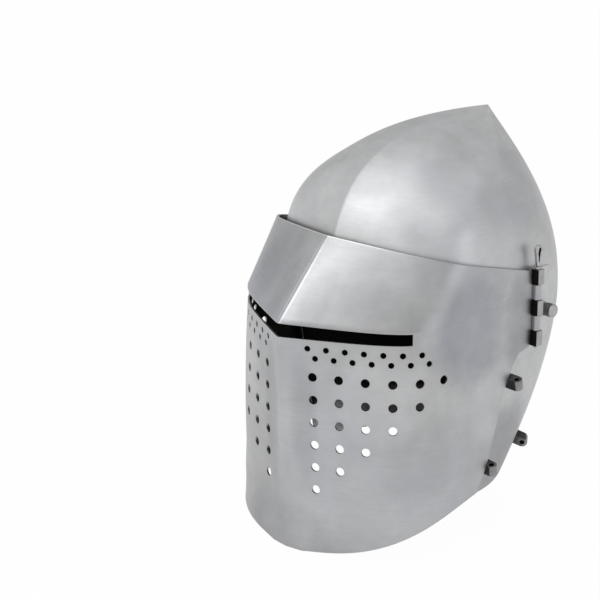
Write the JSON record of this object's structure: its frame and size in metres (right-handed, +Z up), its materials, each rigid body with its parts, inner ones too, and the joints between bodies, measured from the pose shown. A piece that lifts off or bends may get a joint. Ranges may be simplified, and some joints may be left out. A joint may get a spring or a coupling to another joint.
{
  "type": "bascinet helmet",
  "caption": "Pointed bascinet with a hinged, lifting visor, eye slit, round breaths, pull-out hinge pins, studs for a mail curtain and a quilted cap inside.",
  "frame": {"origin": "centre of the bounding box at the level of the visor's lowest edge", "axes": "the helmet faces -Y, +X is the wearer's left, +Z is up"},
  "size_m": [0.2316, 0.2948, 0.3366],
  "materials": {
    "skull_steel": "satin, polished round the skull by hand",
    "visor_steel": "satin, fine level polishing lines",
    "fittings_steel": "dull, slightly darker than the plates",
    "liner_linen": "undyed quilted linen"
  },
  "bodies": {
    "skull_unit": {"skull": "skull_steel", "liner": "liner_linen", "left_pivot_bolt": "fittings_steel", "right_pivot_bolt": "fittings_steel", "left_pivot_washer": "fittings_steel", "right_pivot_washer": "fittings_steel", "left_pivot_nut": "fittings_steel", "right_pivot_nut": "fittings_steel", "left_vervelle_1": "fittings_steel", "right_vervelle_1": "fittings_steel", "left_vervelle_2": "fittings_steel", "right_vervelle_2": "fittings_steel", "left_vervelle_3": "fittings_steel", "right_vervelle_3": "fittings_steel", "left_vervelle_4": "fittings_steel", "right_vervelle_4": "fittings_steel"},
    "visor_unit": {"visor": "visor_steel", "left_hinge_arm": "fittings_steel", "right_hinge_arm": "fittings_steel"},
    "left_pin": {"left_hinge_pin": "fittings_steel"},
    "right_pin": {"right_hinge_pin": "fittings_steel"}
  },
  "joints": [
    {"name": "visor_lift", "type": "hinge", "parent": "skull_unit", "child": "visor_unit", "pos_m": [0, 0.065, 0.1855], "axis": [-1, 0, 0], "range_deg": [0, 70]},
    {"name": "left_pin_pull", "type": "slide", "parent": "visor_unit", "child": "left_pin", "axis": [0, 0, 1], "range_m": [0, 0.075]},
    {"name": "right_pin_pull", "type": "slide", "parent": "visor_unit", "child": "right_pin", "axis": [0, 0, 1], "range_m": [0, 0.075]}
  ]
}
